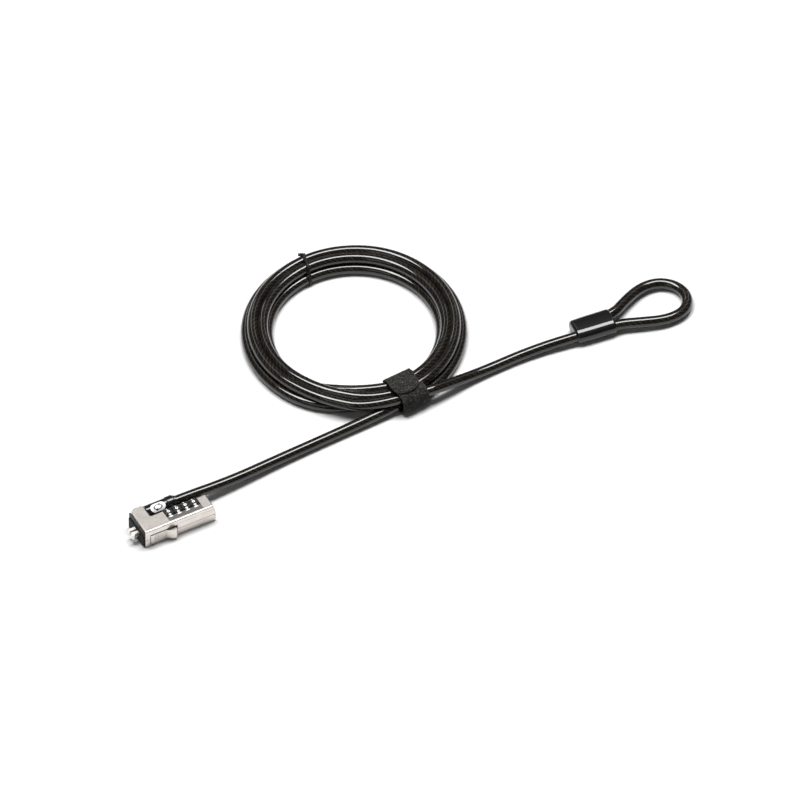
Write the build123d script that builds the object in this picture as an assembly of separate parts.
from build123d import *
import math
import os

os.makedirs("parts", exist_ok=True)

# Laptop cable lock: a combination lock head, a swivel joint and a looped steel cable.
# Frame: origin on the head's base face, midway along the head. +X runs along the head from the
# locking tip to the far end, -Y is the thumb lever's side, +Y the cable's side, +Z up.
# Everything is in millimetres.

# Clearances
running_gap = 0.05          # radial, a shaft in its hole
moving_gap = 0.2            # between pieces that pass each other
body_gap = 0.3              # between larger moving bodies
seat_gap = 0.03             # radial, a piece pushed into its seat
bite = 0.1                  # how far a rib or a cut reaches into its neighbour
past = 1.0                  # how far a cut runs out past a face

# Lock head: an L in plan, with an arm at the tip end
head_length = 39.5
head_height = 11.0
head_front = -7.5           # y of the lever's face
narrow_depth = 9.0          # depth of the stretch that holds the dials
arm_depth = 17.4            # depth of the arm that holds the cable's joint
arm_length = 7.45
parting_height = 4.7        # where the base meets the top shell
end_slope_run = 1.25        # how far the top of the far end leans back
end_slope_start = 6.4       # height where that slope starts
arm_corner_radius = 3.2
arm_inner_radius = 1.6
plain_corner_radius = 0.8
top_edge_radius = 0.6
base_edge_chamfer = 0.4
base_corner_radius = 1.3    # the tip end's lower edge
head_wall = 1.05            # outer walls of the mechanism's cavity
web_thickness = 0.85        # walls each side of the dials
cavity_inset = 2.6          # from the front face to the mechanism's cavity
cavity_back_y = 2.7
cavity_floor = 1.6
cavity_roof = 1.35          # thickness of the top over the cavity
front_line_z = 8.3          # a fine line along the front face, right of the lever
front_line_width = 0.2
front_line_depth = 0.15
notch_length = 1.4          # a notch under the parting at the far end
notch_depth = 0.7
notch_height = 0.45

# Dials on their spindle
dial_count = 4
dial_pitch = 4.7
dial_radius = 3.5
dial_spacing = 0.3          # gap from one dial to the next
dial_bay_left = -5.5        # x where the dials' bay starts
dial_proud = 0.2            # how far the dials stand above the top face
dial_y = -0.1
dial_groove_radius = 0.45
dial_groove_depth = 0.28
dial_positions = 10
code_ring_radius = 2.22
code_ring_width = 2.0
code_notch_width = 1.1
spindle_radius = 0.75
fin_radius = 1.85
fin_thickness = 0.7
bush_radius = 1.25
bush_length = 2.4
detent_front_y = -1.5       # the leaf spring under the dials
detent_back_y = -0.9
detent_low = 1.65
detent_thickness = 0.35
detent_finger_width = 1.8
detent_room = 0.2           # round the leaf spring in its pocket

# Ramp in front of the dials, with one index mark to each dial
ramp_start_y = -6.2
ramp_end_y = -2.4
ramp_drop = 0.7
mark_y = -3.2
mark_length = 2.0
mark_width = 0.85
mark_depth = 0.3
mark_proud = 0.02

# Thumb lever in the front face
lever_pin_x = -16.1
lever_pin_inset = 0.8       # from the front face to the pin's axis
lever_pin_radius = 0.45
lever_pin_low = 0.7
lever_pin_cover = 1.0       # how far the pin goes in above the recess
lever_end_x = -2.75
lever_low = 1.3
lever_high = 6.9
lever_thickness = 1.5
lever_nub = 2.2             # how far the thumb nub stands proud
lever_nub_length = 1.9
lever_hollow_start = 8.3    # from the pin's axis to where the hollow starts
lever_hollow_middle = 3.4   # from the free end to the middle of the hollow
lever_hollow_depth = 0.55   # share of the nub's height there
lever_angle = 6.0           # degrees from rest to fully pressed
finger_x = -8.05
finger_thickness = 1.2
finger_reach_y = 0.5
finger_height = 1.2
finger_middle_z = 5.3
recess_top_room = 0.8       # the recess is taller than the lever above it
recess_end_room = 0.8       # between the lever's free end and the recess's end

# Locking tip: two jaws on upright pins
jaw_reach = 4.85            # from the casing's tip end to the jaws' ends
jaw_pin_x = -14.0
jaw_tail_x = -10.7
jaw_outer_y = 2.2
jaw_inner_y = 0.55
jaw_low = 3.8
jaw_high = 6.8
jaw_angle = 2.2             # degrees that each jaw closes
jaw_pin_radius = 0.55
jaw_pin_y = 1.4
jaw_pin_low = 1.0
jaw_pin_cover = 0.9         # casing left above the pins
hook_reach = 0.95
hook_length = 1.7
hook_slope = 0.5            # length of the hook's leaning faces

# Slide that joins the spindle to the wedge between the jaws' tails
slide_block_x = -9.85
slide_block_length = 1.0
slide_block_rise = 1.1      # how far the block goes up past the spindle's axis
slide_block_half = 1.2      # half its width round the spindle
wedge_length = 2.25
spring_wire = 0.3
spring_radius = 0.64        # to the wire's middle
spring_y = -3.9
spring_turns = 4
spring_seat_x = -13.2
spring_seat_length = 0.6
spring_seat_back_y = -3.0
spring_side_room = 0.8      # from the spring's axis to the block's edge

# Tip end's black plate and rubber pad
end_plate_thickness = 0.4
plate_inset_front = 0.35
plate_inset_back = 0.6
plate_corner_radius = 1.2
tip_pad_thickness = 0.6
tip_pad_low = 0.5
tip_pad_top = 7.2
tip_pad_margin = 0.35       # the pad is this much smaller than the plate at each end
tip_pad_corner_radius = 0.9
tip_pad_edge_radius = 0.25

# Swivel joint and barrel
pivot_inset_x = 3.3         # from the arm's inner wall to the pivot's axis
swivel_y = 7.8
knuckle_radius = 2.3
knuckle_height = 3.6
knuckle_neck = 3.0
hinge_pin_radius = 0.8
hinge_pin_low = 1.2
hinge_pin_cover = 1.0       # casing left above the pin
stub_radius = 1.5
barrel_radius = 3.6
barrel_length = 11.7
barrel_wall = 1.7
swivel_chamber_radius = 2.4
rivet_radius = 2.2
rivet_thickness = 1.2
collar_radius = 3.95
collar_length = 4.3
collar_lip_radius = 3.3
collar_lip_length = 0.7
badge_length = 8.2
badge_width = 4.4
badge_thickness = 0.12
badge_lean = 30.0           # degrees from straight up, towards the lever's side
badge_offset = 0.5          # from the barrel's middle, away from the tip

# Small fasteners
screw_radius = 0.7
screw_head_radius = 1.4
screw_head_height = 0.8
screw_recess = 0.25
screw_top = 7.0
screw_slot_width = 0.4
screw_slot_depth = 0.4
far_screw_x = 3.2           # in from the far end
far_screw_y = 5.2           # in from the front face
near_screw_x = 3.1          # in from the tip end
near_screw_y = 3.95
selector_radius = 1.25
selector_y = -4.6
selector_z = 2.9
selector_length = 2.2
selector_flange_radius = 1.65
selector_flange_thickness = 0.5
selector_slot_width = 0.5
selector_slot_depth = 0.6
selector_inset = 0.15       # how far its face lies inside the far end

# Cable
cable_diameter = 5.5
coil_centre_x = 139.6
coil_centre_y = 70.1
coil_inner_radius = 42.6
coil_outer_radius = 56.8
coil_height = 10.8
strap_x = 141.1
strap_y = 19.1
strap_turn = 4.0            # degrees, the way the cable runs through the strap
strap_width = 15.0
strap_thickness = 1.0
strap_span = 20.6
strap_height = 12.4
strap_corner = 4.6
tie_angle = 92.0            # degrees around the coil
tie_width = 2.2
tie_thickness = 0.9
sleeve_x = 235.1            # where the cable enters the loop's sleeve
sleeve_y = 16.0
sleeve_turn = -5.7
sleeve_length = 21.2
sleeve_width = 14.5
sleeve_height = 8.5
sleeve_end_radius = 1.6
ferrule_inset = 2.0
ferrule_width = 12.9
ferrule_height = 6.6
strand_offset = 3.15        # from the sleeve's middle to each strand
blind_depth = 16.0          # how far the cable's end goes back into the sleeve

# Places that follow from the sizes above
head_left = -head_length / 2
head_right = head_length / 2
narrow_back = head_front + narrow_depth
arm_back = head_front + arm_depth
arm_inner = head_left + arm_length
dial_z = head_height + dial_proud - dial_radius
dial_bay_length = dial_count * dial_pitch + dial_spacing
dial_bay_right = dial_bay_left + dial_bay_length
bush_end = dial_bay_right + bush_length
bay_radius = dial_radius + body_gap - running_gap
swivel_z = parting_height + knuckle_height / 2 + moving_gap
pivot_x = arm_inner - pivot_inset_x
lever_pin_y = head_front + lever_pin_inset
recess_right = lever_end_x + recess_end_room
recess_low = lever_low - moving_gap
recess_high = lever_high + recess_top_room
finger_reach = finger_reach_y - lever_pin_y
slide_travel = finger_reach * math.sin(math.radians(lever_angle))
jaw_middle_z = (jaw_low + jaw_high) / 2
jaw_end_x = head_left - jaw_reach
barrel_start = arm_inner + 2 * moving_gap
barrel_end = barrel_start + barrel_length
collar_end = barrel_end + collar_length
lip_end = collar_end + collar_lip_length
cable_radius = cable_diameter / 2
strap_left = strap_x - strap_width / 2
strap_right = strap_x + strap_width / 2
sleeve_frame = Location((sleeve_x, sleeve_y, sleeve_height / 2), (0, 0, sleeve_turn))
strap_frame = Location((strap_x, strap_y, 0), (0, 0, strap_turn))
FROM_START = (Align.CENTER, Align.CENTER, Align.MIN)


def block(x0, x1, y0, y1, z0, z1):
    """A box between two corners."""
    return Pos(x0, y0, z0) * Box(x1 - x0, y1 - y0, z1 - z0, align=Align.MIN)


def rod_x(x0, x1, y, z, radius):
    """A cylinder that lies along X."""
    return Pos(x0, y, z) * Rot(0, 90, 0) * Cylinder(radius, x1 - x0, align=FROM_START)


def rod_z(x, y, z0, z1, radius):
    """An upright cylinder."""
    return Pos(x, y, z0) * Cylinder(radius, z1 - z0, align=FROM_START)


def prism_z(points, z0, z1):
    """An outline in plan, raised from z0 to z1."""
    outline = Polygon(*points, align=None)
    return Pos(0, 0, z0) * extrude(outline, amount=z1 - z0, dir=(0, 0, 1))


def prism_x(points, x0, x1):
    """An outline in Y and Z, carried along X."""
    outline = Plane.YZ * Polygon(*points, align=None)
    return Pos(x0, 0, 0) * extrude(outline, amount=x1 - x0, dir=(1, 0, 0))


def prism_y(points, y0, y1):
    """An outline in X and Z, carried along Y."""
    outline = Plane.XZ * Polygon(*points, align=None)
    return Pos(0, y0, 0) * extrude(outline, amount=y1 - y0, dir=(0, 1, 0))


def upright_edges(shape, x, y):
    """The upright edges of a shape at one place in plan."""
    found = shape.edges().filter_by(Axis.Z)
    return [e for e in found if abs(e.center().X - x) < 0.05 and abs(e.center().Y - y) < 0.05]


def ring_x(x0, x1, y, z, outer, inner):
    """A tube that lies along X."""
    return rod_x(x0, x1, y, z, outer) - rod_x(x0 - 1, x1 + 1, y, z, inner)


def dial_x(i):
    """The middle of dial i along the spindle."""
    return dial_bay_left + dial_spacing / 2 + dial_pitch * (i + 0.5)


def spring_along_x(x0, x1, y, z):
    """A coil spring between two x values, with open ends."""
    height = x1 - x0 - spring_wire
    helix = Helix(height / spring_turns, height, spring_radius)
    wire = Plane(helix.location_at(0)) * RegularPolygon(spring_wire / 2, 8)
    coil = sweep(wire, path=helix, is_frenet=True)
    return Pos(x0 + spring_wire / 2, y, z) * Rot(0, 90, 0) * coil


# Lock head's casing

def head_outline():
    """The L-shaped block of the head, with its rounded corners and leaning far end."""
    corners = [
        (head_left, head_front),
        (head_right, head_front),
        (head_right, narrow_back),
        (arm_inner, narrow_back),
        (arm_inner, arm_back),
        (head_left, arm_back),
    ]
    shape = prism_z(corners, 0, head_height)
    lean = [
        (head_right + past, end_slope_start),
        (head_right, end_slope_start),
        (head_right - end_slope_run, head_height),
        (head_right - end_slope_run, head_height + past),
        (head_right + past, head_height + past),
    ]
    shape = shape - prism_y(lean, head_front - past, narrow_back + past)
    shape = fillet(upright_edges(shape, head_left, arm_back), arm_corner_radius)
    shape = fillet(upright_edges(shape, arm_inner, arm_back), arm_inner_radius)
    shape = fillet(upright_edges(shape, arm_inner, narrow_back), plain_corner_radius)
    shape = fillet(upright_edges(shape, head_left, head_front), plain_corner_radius)
    shape = fillet(shape.faces().sort_by(Axis.Z)[-1].edges(), top_edge_radius)
    shape = chamfer(shape.faces().sort_by(Axis.Z)[0].edges(), base_edge_chamfer)
    return shape - base_corner()


def base_corner():
    """What the tip end's rounded lower edge leaves out of a square one."""
    r = base_corner_radius
    square = block(head_left - past, head_left + r, head_front - past, arm_back + past, -past, r)
    length = 2 * (arm_depth + past)
    return square - Pos(head_left + r, 0, r) * Rot(90, 0, 0) * Cylinder(r, length)


def lever_recess():
    """The pocket in the front face that the thumb lever sits in, deeper at its free end."""
    left = lever_pin_x - lever_pin_inset - moving_gap
    back = lever_pin_y + lever_pin_inset + moving_gap
    swing = (lever_end_x - lever_pin_x) * math.sin(math.radians(lever_angle))
    deep = head_front + lever_thickness + swing + moving_gap
    outline = [
        (left, head_front - past),
        (recess_right, head_front - past),
        (recess_right, deep),
        (lever_pin_x + 3, back + 0.35),
        (left, back),
    ]
    return prism_z(outline, recess_low, recess_high)


def lever_wedge_room():
    """The slanted lead-in at the right end of the lever's recess."""
    outline = [
        (recess_right - 0.5, head_front - past),
        (recess_right + 1.0, head_front - past),
        (recess_right + 0.4, head_front),
        (recess_right - 0.5, head_front + 1.2),
    ]
    return prism_z(outline, recess_low, recess_high)


def mechanism_cavity():
    """The space in the arm's root for the jaws, the wedge slide and its spring."""
    space = block(
        head_left + head_wall, dial_bay_left - web_thickness,
        head_front + cavity_inset, cavity_back_y,
        cavity_floor, head_height - cavity_roof,
    )
    seat = block(
        spring_seat_x, spring_seat_x + spring_seat_length,
        head_front + cavity_inset - bite, spring_seat_back_y,
        cavity_floor - bite, head_height - cavity_roof + bite,
    )
    half = finger_thickness / 2 + moving_gap
    rise = finger_height / 2 + moving_gap
    window = block(
        finger_x - half, finger_x + half,
        lever_pin_y, head_front + cavity_inset + bite,
        finger_middle_z - rise, finger_middle_z + rise,
    )
    return space - seat + window


def dial_bay():
    """The bay for the dials: round in front of them, and open at the top and the back."""
    bay = rod_x(dial_bay_left, dial_bay_right, dial_y, dial_z, bay_radius)
    low = dial_z - bay_radius
    bay += block(dial_bay_left, dial_bay_right, dial_y, narrow_back + past, low, head_height + past)
    ramp = [
        (ramp_start_y, head_height),
        (ramp_end_y, head_height - ramp_drop),
        (dial_y, head_height - ramp_drop),
        (dial_y, head_height + past),
        (ramp_start_y, head_height + past),
    ]
    bay += prism_x(ramp, dial_bay_left, dial_bay_right)
    spring_room = block(
        dial_bay_left, dial_bay_right,
        detent_front_y - detent_room, -detent_back_y,
        detent_low - detent_room / 4, low + past,
    )
    return bay + spring_room


def knuckle_slot():
    """The slot across the arm that lets the knuckle swing from +X round to +Y."""
    low = parting_height
    high = swivel_z + knuckle_height / 2 + moving_gap
    half = knuckle_neck / 2 + body_gap
    round_end = rod_z(pivot_x, swivel_y, low, high, knuckle_radius + moving_gap)
    beside = block(pivot_x, arm_inner + past, swivel_y - half, arm_back + past, low, high)
    behind = block(pivot_x - half, arm_inner + past, swivel_y, arm_back + past, low, high)
    return round_end + beside + behind


def jaw_slot():
    """The way through the tip end's wall for the two jaws."""
    half = jaw_outer_y + moving_gap
    low = jaw_low - moving_gap
    high = jaw_high + moving_gap
    start = head_left - end_plate_thickness - tip_pad_thickness - past
    return block(start, head_left + head_wall + past, -half, half, low, high)


def screw_places():
    """The two screws that hold the base to the top shell."""
    far = (head_right - far_screw_x, head_front + far_screw_y)
    return [far, (head_left + near_screw_x, near_screw_y)]


def small_bores():
    """The holes for the pins, the spindle, the bush, the screws and the code selector."""
    holes = hinge_pin() + jaw_pin(-1) + jaw_pin(1) + lever_pin()
    left = dial_bay_left - 2 * past
    holes += rod_x(left, bush_end + 2 * past, dial_y, dial_z, spindle_radius + running_gap)
    holes += rod_x(dial_bay_right, bush_end, dial_y, dial_z, bush_radius)
    for x, y in screw_places():
        holes += rod_z(x, y, -past, screw_top + moving_gap, screw_radius)
        head_top = screw_recess + screw_head_height
        holes += rod_z(x, y, -past, head_top, screw_head_radius + running_gap)
    flange_start = head_right - selector_length
    bore = selector_radius + running_gap
    holes += rod_x(flange_start, head_right + past, selector_y, selector_z, bore)
    holes += rod_x(
        flange_start - moving_gap / 2,
        flange_start + selector_flange_thickness + moving_gap / 2,
        selector_y, selector_z, selector_flange_radius + running_gap,
    )
    return holes


def index_marks():
    """White inlays on the ramp, one in front of each dial."""
    lean = math.degrees(math.atan2(ramp_drop, ramp_end_y - ramp_start_y))
    z = head_height - ramp_drop * (mark_y - ramp_start_y) / (ramp_end_y - ramp_start_y)
    marks = []
    for i in range(dial_count):
        plate = Box(mark_length, mark_width, mark_depth)
        down = mark_proud - mark_depth / 2
        place = Pos(dial_x(i), mark_y, z) * Rot(-lean, 0, 0) * Pos(0, 0, down)
        marks.append(place * plate)
    return marks


def head_shells():
    """The base and the top shell, cut from one block at the parting height."""
    shape = head_outline() - lever_recess() - lever_wedge_room() - mechanism_cavity()
    shape = shape - dial_bay() - knuckle_slot() - jaw_slot() - small_bores()
    far = head_length
    low_half = block(-far, far, -far, far, -far, parting_height)
    high_half = block(-far, far, -far, far, parting_height, far)
    base = shape & low_half
    top = shape & high_half
    for mark in index_marks():
        top = top - mark
    notch = block(
        head_right - notch_length, head_right + past,
        head_front - past, head_front + notch_depth,
        parting_height - notch_height, parting_height,
    )
    line = block(
        recess_right + past, head_right + past,
        head_front - past, head_front + front_line_depth,
        front_line_z, front_line_z + front_line_width,
    )
    return base - notch, top - line


def end_plate():
    """The thin black plate on the tip end's face."""
    shape = block(
        head_left - end_plate_thickness, head_left,
        head_front + plate_inset_front, arm_back - plate_inset_back,
        base_edge_chamfer, head_height - top_edge_radius,
    )
    rounds = [e for e in shape.edges().filter_by(Axis.X) if e.center().Y > swivel_y]
    return fillet(rounds, plate_corner_radius) - jaw_slot()


def tip_pad():
    """The rubber pad that meets the laptop's side, round the locking tip."""
    x1 = head_left - end_plate_thickness
    y0 = head_front + plate_inset_front + tip_pad_margin
    y1 = arm_back - plate_inset_back - tip_pad_margin
    shape = block(x1 - tip_pad_thickness, x1, y0, y1, tip_pad_low, tip_pad_top)
    shape = fillet(shape.edges().filter_by(Axis.X), tip_pad_corner_radius)
    face = shape.faces().sort_by(Axis.X)[0]
    return fillet(face.edges(), tip_pad_edge_radius) - jaw_slot()


# Locking tip

def jaw(side):
    """One jaw of the tip. Side -1 is the front jaw, which carries the hook."""
    outline = [
        (jaw_tail_x, side * jaw_inner_y),
        (jaw_tail_x, side * jaw_outer_y),
        (jaw_end_x + hook_length + hook_slope, side * jaw_outer_y),
    ]
    if side < 0:
        outline += [
            (jaw_end_x + hook_length, side * (jaw_outer_y + 0.1)),
            (jaw_end_x + hook_length - hook_slope, side * (jaw_outer_y + hook_reach)),
            (jaw_end_x + hook_slope, side * (jaw_outer_y + hook_reach)),
            (jaw_end_x, side * (jaw_outer_y + 0.2)),
        ]
    else:
        outline += [(jaw_end_x + 0.4, side * jaw_outer_y), (jaw_end_x, side * (jaw_outer_y - 0.4))]
    outline += [(jaw_end_x, side * (jaw_inner_y + 0.15)), (jaw_end_x + 0.3, side * jaw_inner_y)]
    shape = prism_z(outline, jaw_low, jaw_high)
    return shape - rod_z(jaw_pin_x, side * jaw_pin_y, 0, head_height, jaw_pin_radius + running_gap)


def jaw_pin(side):
    """The upright pin that one jaw turns on."""
    top = head_height - jaw_pin_cover
    return rod_z(jaw_pin_x, side * jaw_pin_y, jaw_pin_low, top, jaw_pin_radius)


def slide_block():
    """The block that carries the wedge between the jaws' tails and takes the spindle's end."""
    x0 = slide_block_x
    x1 = x0 + slide_block_length
    low = jaw_low + bite
    plate = block(x0, x1, spring_y - spring_side_room, jaw_outer_y, low, jaw_high + bite)
    side = slide_block_half
    plate += block(x0, x1, dial_y - side, dial_y + side, jaw_high, dial_z + slide_block_rise)
    slope = (jaw_tail_x - jaw_pin_x) * math.sin(math.radians(jaw_angle)) / slide_travel
    half_at_tail = jaw_inner_y - running_gap
    half_root = half_at_tail + (x0 - jaw_tail_x) * slope
    half_nose = half_root - wedge_length * slope
    wedge = [
        (x0, -half_root),
        (x0, half_root),
        (x0 - wedge_length, half_nose),
        (x0 - wedge_length, -half_nose),
    ]
    plate += prism_z(wedge, low, jaw_high - bite)
    return plate - rod_x(x0 - past, x1 + past, dial_y, dial_z, spindle_radius)


def slide_spring():
    """The spring that pushes the slide back and holds the jaws apart."""
    start = spring_seat_x + spring_seat_length + running_gap
    return spring_along_x(start, slide_block_x - running_gap, spring_y, jaw_middle_z)


# Dials and spindle

def spindle():
    """The code spindle, with a fin for each dial's notched ring."""
    shape = rod_x(slide_block_x, bush_end + 0.6, dial_y, dial_z, spindle_radius)
    for i in range(dial_count):
        x = dial_x(i) - 0.45
        half = code_notch_width / 2 - 0.15
        shape += block(
            x - fin_thickness, x, dial_y - half, dial_y + half, dial_z, dial_z + fin_radius
        )
    return shape


def spindle_bush():
    """The brass bush at the far end of the spindle."""
    inner = spindle_radius + running_gap
    return ring_x(dial_bay_right, bush_end, dial_y, dial_z, bush_radius, inner)


def dial(i):
    """A number dial: ten shallow grooves round its rim and a bore for its code ring."""
    width = dial_pitch - dial_spacing
    x0 = dial_x(i) - width / 2
    shape = rod_x(x0, x0 + width, dial_y, dial_z, dial_radius)
    shape = chamfer(shape.edges().filter_by(GeomType.CIRCLE), 0.2)
    groove_middle = dial_radius + dial_groove_radius - dial_groove_depth
    for k in range(dial_positions):
        angle = math.radians((k + 0.5) * 360 / dial_positions)
        y = dial_y + groove_middle * math.sin(angle)
        z = dial_z + groove_middle * math.cos(angle)
        shape = shape - rod_x(x0 - 1, x0 + width + 1, y, z, dial_groove_radius)
    return shape - rod_x(x0 - 1, x0 + width + 1, dial_y, dial_z, code_ring_radius + seat_gap)


def code_ring(i):
    """The ring that turns with a dial, notched where the spindle's fin may pass."""
    x0 = dial_x(i) + 0.15
    x1 = x0 + code_ring_width
    inner = spindle_radius + running_gap
    ring = ring_x(x0, x1, dial_y, dial_z, code_ring_radius, inner)
    half = code_notch_width / 2
    depth = fin_radius + 0.12
    return ring - block(x0 - 1, x1 + 1, dial_y - half, dial_y + half, dial_z, dial_z + depth)


def detent_spring():
    """The leaf spring under the dials, with one raised finger to each."""
    top = detent_low + detent_thickness
    shape = block(
        dial_bay_left + moving_gap, dial_bay_right - moving_gap,
        detent_front_y, detent_back_y, detent_low, top,
    )
    peak = dial_z - dial_radius - moving_gap
    finger = [
        (detent_front_y, detent_low),
        (detent_back_y, top),
        (0.15, peak),
        (0.75, peak - 0.5),
        (0.6, peak - 0.75),
        (0.1, peak - 0.35),
        (detent_back_y + 0.3, detent_low),
    ]
    half = detent_finger_width / 2
    for i in range(dial_count):
        shape += prism_x(finger, dial_x(i) - half, dial_x(i) + half)
    return shape


def code_selector():
    """The slotted turn-screw in the far end that lets the owner set a new code."""
    x0 = head_right - selector_length
    face = head_right - selector_inset
    shape = rod_x(x0, face, selector_y, selector_z, selector_radius)
    flange_end = x0 + selector_flange_thickness
    shape += rod_x(x0, flange_end, selector_y, selector_z, selector_flange_radius)
    slot = block(
        face - selector_slot_depth, head_right + past,
        selector_y - 2 * selector_radius, selector_y + 2 * selector_radius,
        selector_z - selector_slot_width / 2, selector_z + selector_slot_width / 2,
    )
    return shape - slot


# Thumb lever

def thumb_lever():
    """The press lever: flush at its hinge, then a hollow up to a proud thumb nub."""
    inner = head_front + lever_thickness
    hinge = rod_z(lever_pin_x, lever_pin_y, lever_low, lever_high, lever_pin_inset)
    hollow_start = (lever_pin_x + lever_hollow_start, head_front)
    hollow_mid = (lever_end_x - lever_hollow_middle, head_front - lever_hollow_depth * lever_nub)
    nub_start = (lever_end_x - lever_nub_length, head_front - lever_nub)
    with BuildPart() as lever:
        with BuildSketch(Plane.XY.offset(lever_low)):
            with BuildLine():
                Line((lever_pin_x, head_front), hollow_start)
                ThreePointArc(hollow_start, hollow_mid, nub_start)
                nub_side = (lever_end_x, head_front - lever_nub + 0.9)
                Line(nub_start, (lever_end_x - 0.7, head_front - lever_nub))
                ThreePointArc(
                    (lever_end_x - 0.7, head_front - lever_nub),
                    (lever_end_x - 0.15, head_front - lever_nub + 0.25),
                    nub_side,
                )
                Line(nub_side, (lever_end_x, inner))
                Line((lever_end_x, inner), (lever_pin_x, inner))
                Line((lever_pin_x, inner), (lever_pin_x, head_front))
            make_face()
        extrude(amount=lever_high - lever_low)
    shape = lever.part + hinge
    finger = block(
        finger_x - finger_thickness / 2, finger_x + finger_thickness / 2,
        inner - 0.3, finger_reach_y,
        finger_middle_z - finger_height / 2, finger_middle_z + finger_height / 2,
    )
    bore = rod_z(lever_pin_x, lever_pin_y, 0, head_height, lever_pin_radius + running_gap)
    return shape + finger - bore


def lever_pin():
    """The upright pin that the thumb lever turns on."""
    top = recess_high + lever_pin_cover
    return rod_z(lever_pin_x, lever_pin_y, lever_pin_low, top, lever_pin_radius)


# Swivel joint

def hinge_pin():
    """The upright pin through the arm and the knuckle."""
    top = head_height - hinge_pin_cover
    return rod_z(pivot_x, swivel_y, hinge_pin_low, top, hinge_pin_radius)


def knuckle():
    """The eye on the hinge pin, with a neck and a round stub for the barrel."""
    low = swivel_z - knuckle_height / 2
    high = swivel_z + knuckle_height / 2
    half = knuckle_neck / 2
    shape = rod_z(pivot_x, swivel_y, low, high, knuckle_radius)
    neck_end = barrel_start - moving_gap
    shape += block(pivot_x, neck_end, swivel_y - half, swivel_y + half, low, high)
    stub_end = barrel_start + barrel_wall + moving_gap / 2
    shape += rod_x(neck_end - 1, stub_end, swivel_y, swivel_z, stub_radius)
    shape = shape - rod_z(pivot_x, swivel_y, 0, head_height, hinge_pin_radius + running_gap)
    return shape - rod_x(neck_end, stub_end + 1, swivel_y, swivel_z, stub_radius / 2)


def swivel_rivet():
    """The rivet that keeps the barrel on the knuckle's stub and lets it spin."""
    head_start = barrel_start + barrel_wall + moving_gap / 2
    head_end = head_start + rivet_thickness
    shape = rod_x(head_start, head_end, swivel_y, swivel_z, rivet_radius)
    shank_start = barrel_start - moving_gap
    return shape + rod_x(shank_start, head_start, swivel_y, swivel_z, stub_radius / 2)


def swivel_barrel():
    """The barrel that holds the cable's end and spins on the stub."""
    shape = rod_x(barrel_start, barrel_end, swivel_y, swivel_z, barrel_radius)
    rim = shape.edges().filter_by(GeomType.CIRCLE).sort_by(Axis.X)[0]
    shape = fillet(rim, 0.35)
    chamber_start = barrel_start + barrel_wall
    chamber_end = chamber_start + rivet_thickness + moving_gap * 2
    stub_hole = stub_radius + running_gap
    shape = shape - rod_x(barrel_start - 1, chamber_start + 1, swivel_y, swivel_z, stub_hole)
    shape = shape - rod_x(chamber_start, chamber_end, swivel_y, swivel_z, swivel_chamber_radius)
    return shape - rod_x(chamber_end + 1.2, barrel_end + 1, swivel_y, swivel_z, cable_radius)


def cable_collar():
    """The crimped collar where the cable leaves the barrel."""
    shape = rod_x(barrel_end, collar_end, swivel_y, swivel_z, collar_radius)
    shape = fillet(shape.edges().filter_by(GeomType.CIRCLE), 0.7)
    shape += rod_x(collar_end - 1, lip_end, swivel_y, swivel_z, collar_lip_radius)
    return shape - rod_x(barrel_end - 1, lip_end + 1, swivel_y, swivel_z, cable_radius)


def barrel_badge():
    """A thin oval plate that follows the barrel's curve."""
    middle = (barrel_start + barrel_end) / 2 + badge_offset
    outer = barrel_radius + badge_thickness
    shell = ring_x(barrel_start, barrel_end, 0, 0, outer, barrel_radius)
    oval = Pos(middle, 0, 0) * extrude(SlotOverall(badge_length, badge_width), amount=9)
    return Pos(0, swivel_y, swivel_z) * Rot(badge_lean, 0, 0) * (shell & oval)


# Cable, its coil and its loop

def cord_tube(points):
    """Straight runs joined by arcs as large as their runs allow, with the cable's section."""
    radii = []
    for a, b, c in zip(points, points[1:], points[2:]):
        first = Vector(*b) - Vector(*a)
        second = Vector(*c) - Vector(*b)
        half_turn = math.radians(first.get_angle(second)) / 2
        radii.append(0.45 * min(first.length, second.length) / math.tan(half_turn))
    path = FilletPolyline(*points, radius=radii)
    direction = Vector(*points[1]) - Vector(*points[0])
    section = Plane(points[0], z_dir=direction) * Circle(cable_radius)
    tube = sweep(section, path=path)
    print("cable stretch: smallest radius", round(min(radii), 1), "length", round(path.length, 1),
          "volume over section x length", round(tube.volume / (math.pi * cable_radius**2 * path.length), 4))
    return tube


def lead_route():
    """From the collar to the strap, down to the table in one easy bend."""
    return [
        (lip_end, swivel_y, swivel_z),
        (14.0, 7.75, 6.45),
        (27.0, 8.5, 4.9),
        (43.0, 10.2, 3.0),
        (64.0, 11.5, 2.75),
        (86.0, 12.4, 2.75),
        (107.0, 14.0, 2.8),
        (123.0, 14.8, 3.4),
        (strap_left, 15.6, 3.8),
    ]


def tail_route():
    """From the strap, off the top of the coil and along the table to the loop's sleeve."""
    entry = (sleeve_frame * Pos(0, -strand_offset, 0)).position
    return [
        (strap_right, 12.3, 7.9),
        (163.0, 13.5, 6.0),
        (175.0, 14.8, 3.7),
        (189.0, 15.6, 2.75),
        (205.0, 16.1, 2.8),
        (220.5, 15.1, 3.4),
        (entry.X, entry.Y, entry.Z),
    ]


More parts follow.
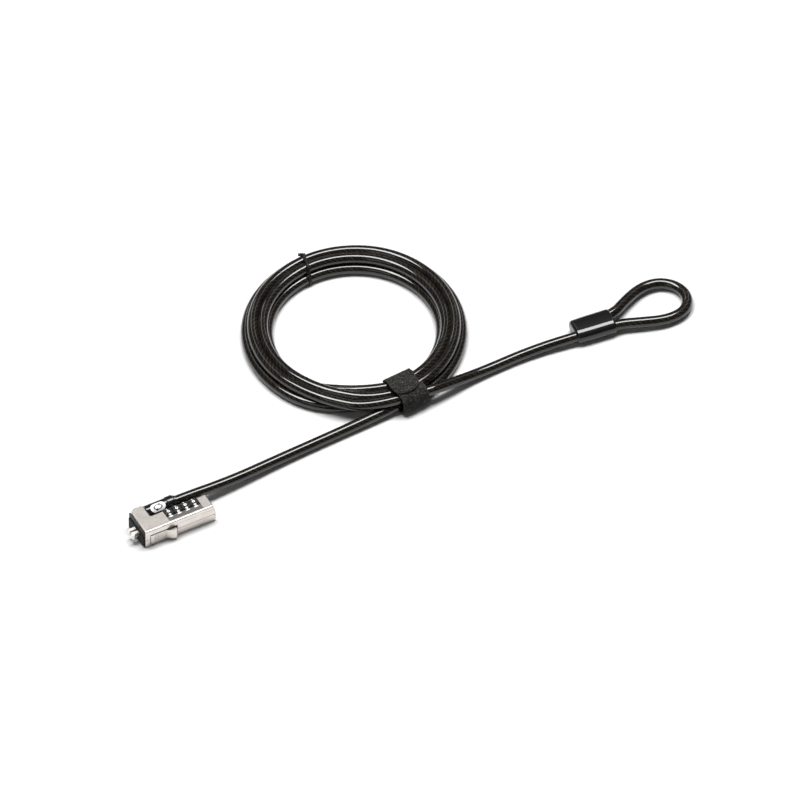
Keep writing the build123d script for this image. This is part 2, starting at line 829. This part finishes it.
def loop_route():
    """Through the sleeve, round the teardrop loop and back into the sleeve."""
    start = (sleeve_frame * Pos(0, -strand_offset, 0)).position
    leave = (sleeve_frame * Pos(sleeve_length + 1.2, -strand_offset, 0)).position
    back = (sleeve_frame * Pos(sleeve_length + 1.0, strand_offset, 0)).position
    end = (sleeve_frame * Pos(sleeve_length - blind_depth, strand_offset, 0)).position
    return [
        (start.X, start.Y, start.Z),
        (leave.X, leave.Y, leave.Z),
        (268.4, 6.3, 4.0),
        (281.0, 2.0, 3.5),
        (292.2, 3.2, 3.1),
        (298.2, 11.0, 2.9),
        (297.0, 20.2, 2.9),
        (289.8, 26.8, 3.1),
        (279.6, 27.5, 3.5),
        (268.4, 22.9, 4.0),
        (back.X, back.Y, back.Z),
        (end.X, end.Y, end.Z),
    ]


def strap_section(inset):
    """The strap's rounded outline round the bundle, drawn in by an inset."""
    w = strap_span - 2 * inset
    h = strap_height - 2 * inset
    return Plane.YZ * Pos(0, strap_height / 2) * RectangleRounded(w, h, strap_corner - inset)


def along_strap(section, width):
    """A section carried across the strap's width."""
    return strap_frame * Pos(-width / 2, 0, 0) * extrude(section, amount=width)


def strap():
    """The hook-and-loop strap round the coil, the lead and the tail."""
    outer = along_strap(strap_section(0), strap_width)
    return outer - along_strap(strap_section(strap_thickness), strap_width + 2)


def tie_frame():
    """Where the twist tie crosses the coil, with X along the turns."""
    angle = math.radians(tie_angle)
    middle = (coil_inner_radius + coil_outer_radius) / 2
    x = coil_centre_x + middle * math.cos(angle)
    y = coil_centre_y + middle * math.sin(angle)
    return Location((x, y, 0), (0, 0, tie_angle - 90))


def tie_section(inset):
    """The tie's rounded outline round the coil, drawn in by an inset."""
    w = coil_outer_radius - coil_inner_radius + 2 * (0.6 - inset)
    h = coil_height + 0.7 - 2 * inset
    middle = (coil_height + 0.7) / 2
    return Plane.YZ * Pos(0, middle) * RectangleRounded(w, h, 3.6 - inset)


def twist_tie():
    """The wire tie wound twice round the coil."""
    outer = tie_frame() * Pos(-tie_width / 2, 0, 0) * extrude(tie_section(0), amount=tie_width)
    hole = extrude(tie_section(tie_thickness), amount=tie_width + 2)
    return outer - tie_frame() * Pos(-tie_width / 2 - 1, 0, 0) * hole


def cable_coil():
    """The wound turns as one ring, with room for the strap and the tie round it."""
    shoulder = 3.0
    foot = 1.4
    section = Polygon(
        (coil_inner_radius + foot, 0),
        (coil_outer_radius - foot, 0),
        (coil_outer_radius, foot),
        (coil_outer_radius, coil_height - shoulder),
        (coil_outer_radius - shoulder, coil_height),
        (coil_inner_radius + shoulder, coil_height),
        (coil_inner_radius, coil_height - shoulder),
        (coil_inner_radius, foot),
        align=None,
    )
    ring = Pos(coil_centre_x, coil_centre_y, 0) * revolve(Plane.XZ * section, Axis.Z)
    around = strap_frame * Pos(0, 0, 5) * Box(strap_width, 40, 30)
    inside = along_strap(strap_section(strap_thickness), strap_width)
    ring = ring - around + inside
    tie_around = tie_frame() * Pos(0, 0, 5) * Box(tie_width, 40, 30)
    tie_hole = extrude(tie_section(tie_thickness), amount=tie_width)
    tie_inside = (ring & tie_around) & (tie_frame() * Pos(-tie_width / 2, 0, 0) * tie_hole)
    return ring - tie_around + tie_inside


def across_sleeve(width, height, corner, x0, x1):
    """A rounded section carried along the loop's sleeve."""
    section = Plane.YZ * RectangleRounded(width, height, corner)
    return sleeve_frame * Pos(x0, 0, 0) * extrude(section, amount=x1 - x0)


def strand_bores(reach):
    """The two ways through the sleeve: one right through, one blind."""
    through = sleeve_frame * rod_x(-reach, sleeve_length + reach, -strand_offset, 0, cable_radius)
    start = sleeve_length - blind_depth
    blind = sleeve_frame * rod_x(start, sleeve_length + reach, strand_offset, 0, cable_radius)
    return through + blind


def crimp_ferrule():
    """The metal ferrule crimped over both strands, hidden in the cover."""
    shape = across_sleeve(ferrule_width, ferrule_height, ferrule_height / 2 - 0.05,
                          ferrule_inset, sleeve_length - ferrule_inset)
    return shape - strand_bores(2)


def sleeve_cover():
    """The moulded cover over the ferrule, rounded at both ends."""
    shape = across_sleeve(sleeve_width, sleeve_height, sleeve_height / 2 - 0.05, 0, sleeve_length)
    ends = [f for f in shape.faces().filter_by(GeomType.PLANE) if abs(f.normal_at().Z) < 0.1]
    ends = sorted(ends, key=lambda f: f.area)[-2:]
    for end in ends:
        shape = fillet(shape.edges().filter_by(lambda e, p=end.center(): near(e, p)), sleeve_end_radius)
    hollow = across_sleeve(ferrule_width, ferrule_height, ferrule_height / 2 - 0.05,
                           ferrule_inset, sleeve_length - ferrule_inset)
    return shape - hollow - strand_bores(2)


def near(edge, point):
    """Whether an edge lies in the upright plane across the sleeve through a point."""
    along = Vector(math.cos(math.radians(sleeve_turn)), math.sin(math.radians(sleeve_turn)), 0)
    spots = (edge.position_at(0.0), edge.position_at(0.5), edge.position_at(1.0))
    return all(abs((spot - point).dot(along)) < 0.01 for spot in spots)


def housing_screws():
    """The two small screws in the base."""
    screws = []
    for x, y in screw_places():
        shank = rod_z(x, y, screw_recess, screw_top, screw_radius)
        head = rod_z(x, y, screw_recess, screw_recess + screw_head_height, screw_head_radius)
        half = screw_slot_width / 2
        slot_top = screw_recess + screw_slot_depth
        slot = block(x - past, x + past, y - half, y + half, screw_recess - past, slot_top)
        screws.append(shank + head - slot)
    return Compound(children=screws)


base, top = head_shells()
pieces = {
    "housing_base": base,
    "housing_top": top,
    "index_marks": Compound(children=index_marks()),
    "housing_screws": housing_screws(),
    "end_plate": end_plate(),
    "tip_pad": tip_pad(),
    "front_jaw": jaw(-1),
    "back_jaw": jaw(1),
    "jaw_pins": Compound(children=[jaw_pin(-1), jaw_pin(1)]),
    "slide_block": slide_block(),
    "slide_spring": slide_spring(),
    "code_spindle": spindle(),
    "spindle_bush": spindle_bush(),
    "detent_spring": detent_spring(),
    "code_selector": code_selector(),
    "thumb_lever": thumb_lever(),
    "lever_pin": lever_pin(),
    "hinge_pin": hinge_pin(),
    "swivel_knuckle": knuckle(),
    "swivel_rivet": swivel_rivet(),
    "swivel_barrel": swivel_barrel(),
    "cable_collar": cable_collar(),
    "barrel_badge": barrel_badge(),
    "cable_lead": cord_tube(lead_route()),
    "cable_coil": cable_coil(),
    "cable_tail": cord_tube(tail_route()),
    "cable_loop": cord_tube(loop_route()),
    "crimp_ferrule": crimp_ferrule(),
    "sleeve_cover": sleeve_cover(),
    "cable_strap": strap(),
    "twist_tie": twist_tie(),
}
for i in range(dial_count):
    pieces[f"dial_{i + 1}"] = dial(i)
    pieces[f"code_ring_{i + 1}"] = code_ring(i)

for name, shape in pieces.items():
    export_step(shape, f"parts/{name}.step")
